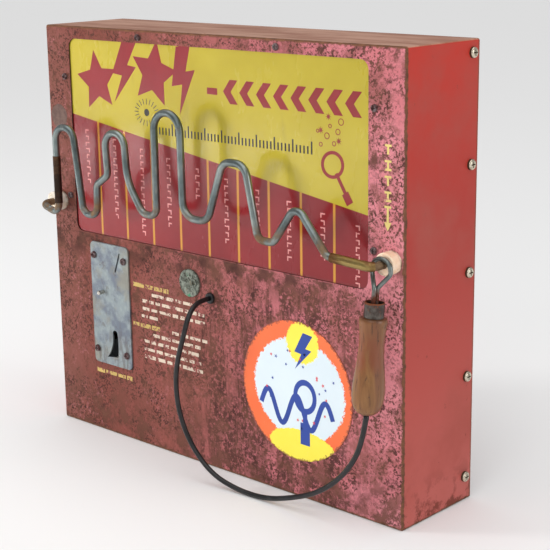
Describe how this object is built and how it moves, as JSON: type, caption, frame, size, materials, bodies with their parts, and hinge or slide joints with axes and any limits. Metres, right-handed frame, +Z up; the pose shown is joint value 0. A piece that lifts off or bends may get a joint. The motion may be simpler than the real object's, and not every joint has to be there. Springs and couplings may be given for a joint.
{
  "type": "wire loop steady-hand arcade game",
  "caption": "Shallow steel cabinet with a bent wire track on insulators, a tethered handle with a wire ring round the track, a lit score glass, a coin plate and a cam lock.",
  "frame": {"origin": "centre of the cabinet's base, on the surface it stands on", "axes": "+X to the player's right, +Y to the back, +Z up"},
  "size_m": [0.5438, 0.1645, 0.48],
  "materials": {
    "aluminium": "satin",
    "badge_print": "printed disc",
    "bell_metal": "plated gong",
    "black_plastic": "moulded",
    "black_rubber": "cable sheath and bush",
    "board_brown": "resin board",
    "bright_brass": "rubbed bright",
    "cabinet_red": "faded red enamel over rusting sheet steel",
    "coil_tape": "taped winding",
    "coin_plate_zinc": "galvanised, stained",
    "core_iron": "laminated, varnished",
    "cover_paint": "dull red enamel",
    "dark_brass": "aged dark brown",
    "ferrule_steel": "dark, with rust inside",
    "grey_enamel": "grey enamel",
    "insulator_cream": "yellowed nylon",
    "insulator_white": "nylon",
    "lamp_glass": "frosted tube",
    "lock_nickel": "nickel plate worn to the brass",
    "loop_steel": "worn wire",
    "nickel_screw": "dull nickel plate",
    "relay_plastic": "clear-grey cover",
    "rusty_screw": "brown rust",
    "score_glass": "acrylic sheet, printed from behind",
    "spring_steel": "spring wire",
    "track_steel": "worn bar with a blue-grey patina",
    "turned_wood": "worn varnish",
    "white_enamel": "white enamel",
    "white_plastic": "moulded",
    "zinc_hardware": "zinc plated",
    "zinc_sheet": "galvanised sheet"
  },
  "bodies": {
    "cabinet": {"badge": "badge_print", "bell_bracket": "zinc_sheet", "bell_coils": "coil_tape", "bell_gong": "bell_metal", "button_spring": "spring_steel", "cabinet_shell": "cabinet_red", "cable_grommet": "black_rubber", "cash_box": "grey_enamel", "chassis_plate": "zinc_sheet", "coin_chute": "zinc_sheet", "coin_plate": "coin_plate_zinc", "coin_plate_nuts": "zinc_hardware", "coin_plate_screws": "rusty_screw", "coin_return_cup": "zinc_sheet", "coin_switch": "black_plastic", "control_board": "board_brown", "cover_nuts": "zinc_hardware", "display_panel": "score_glass", "finish_sleeve": "dark_brass", "gland_nut": "black_plastic", "handle_cable": "black_rubber", "inner_insulators": "insulator_white", "insulator_finish": "insulator_white", "insulator_start": "insulator_cream", "lamp_ballast": "grey_enamel", "lamp_batten": "white_enamel", "lamp_caps": "aluminium", "lamp_holders": "white_plastic", "lamp_starter": "white_plastic", "lamp_tube": "lamp_glass", "lock_body": "lock_nickel", "lock_nut": "zinc_hardware", "lock_strap": "zinc_sheet", "mains_gland": "black_plastic", "panel_clamps": "zinc_sheet", "panel_ledge": "zinc_sheet", "rear_cover": "cover_paint", "side_screws_left": "nickel_screw", "side_screws_right": "nickel_screw", "start_sleeve": "bright_brass", "terminal_block": "white_plastic", "timer_relay": "relay_plastic", "track_nuts": "zinc_hardware", "track_terminals": "bright_brass", "track_washers": "zinc_hardware", "transformer_coil": "coil_tape", "transformer_core": "core_iron", "window_nuts": "zinc_hardware", "window_screws": "rusty_screw", "wire_track": "track_steel"},
    "handle": {"handle_loop": "loop_steel", "handle_ferrule": "ferrule_steel", "handle_grip": "turned_wood"},
    "button": {"coin_release_button": "nickel_screw"},
    "gate": {"reject_gate": "zinc_sheet"},
    "feeler": {"coin_switch_lever": "spring_steel"},
    "lock": {"lock_plug": "lock_nickel", "lock_cam": "zinc_hardware", "cam_nut": "zinc_hardware"},
    "hammer": {"bell_hammer": "zinc_hardware"}
  },
  "joints": [
    {"name": "handle_swing", "type": "hinge", "parent": "cabinet", "child": "handle", "pos_m": [0.248, -0.0755, 0.275], "axis": [0, 1, 0], "range_deg": [-60, 53]},
    {"name": "coin_release", "type": "slide", "parent": "cabinet", "child": "button", "axis": [0, 1, 0], "range_m": [0, 0.005], "stiffness_N_per_m": 300, "springref_m": -0.003, "deforming": ["button_spring"]},
    {"name": "gate_hinge", "type": "hinge", "parent": "cabinet", "child": "gate", "pos_m": [-0.17342, -0.038, 0.15886], "axis": [0, 1, 0], "range_deg": [0, 21]},
    {"name": "feeler_hinge", "type": "hinge", "parent": "cabinet", "child": "feeler", "pos_m": [-0.16491, -0.038, 0.15244], "axis": [0, 1, 0], "range_deg": [-18, 0], "stiffness_Nm_per_rad": 0.004, "springref_deg": 8.59},
    {"name": "lock_turn", "type": "hinge", "parent": "cabinet", "child": "lock", "pos_m": [-0.0235, -0.04, 0.2105], "axis": [0, 1, 0], "range_deg": [0, 90]},
    {"name": "hammer_swing", "type": "hinge", "parent": "cabinet", "child": "hammer", "pos_m": [0.107, 0.01, 0.094], "axis": [0, 1, 0], "range_deg": [-2.2, 0], "stiffness_Nm_per_rad": 0.06, "springref_deg": 4.58}
  ],
  "couplings": [
    {"joint": "gate_hinge", "follows": "coin_release", "rad_per_m": 69.813}
  ]
}
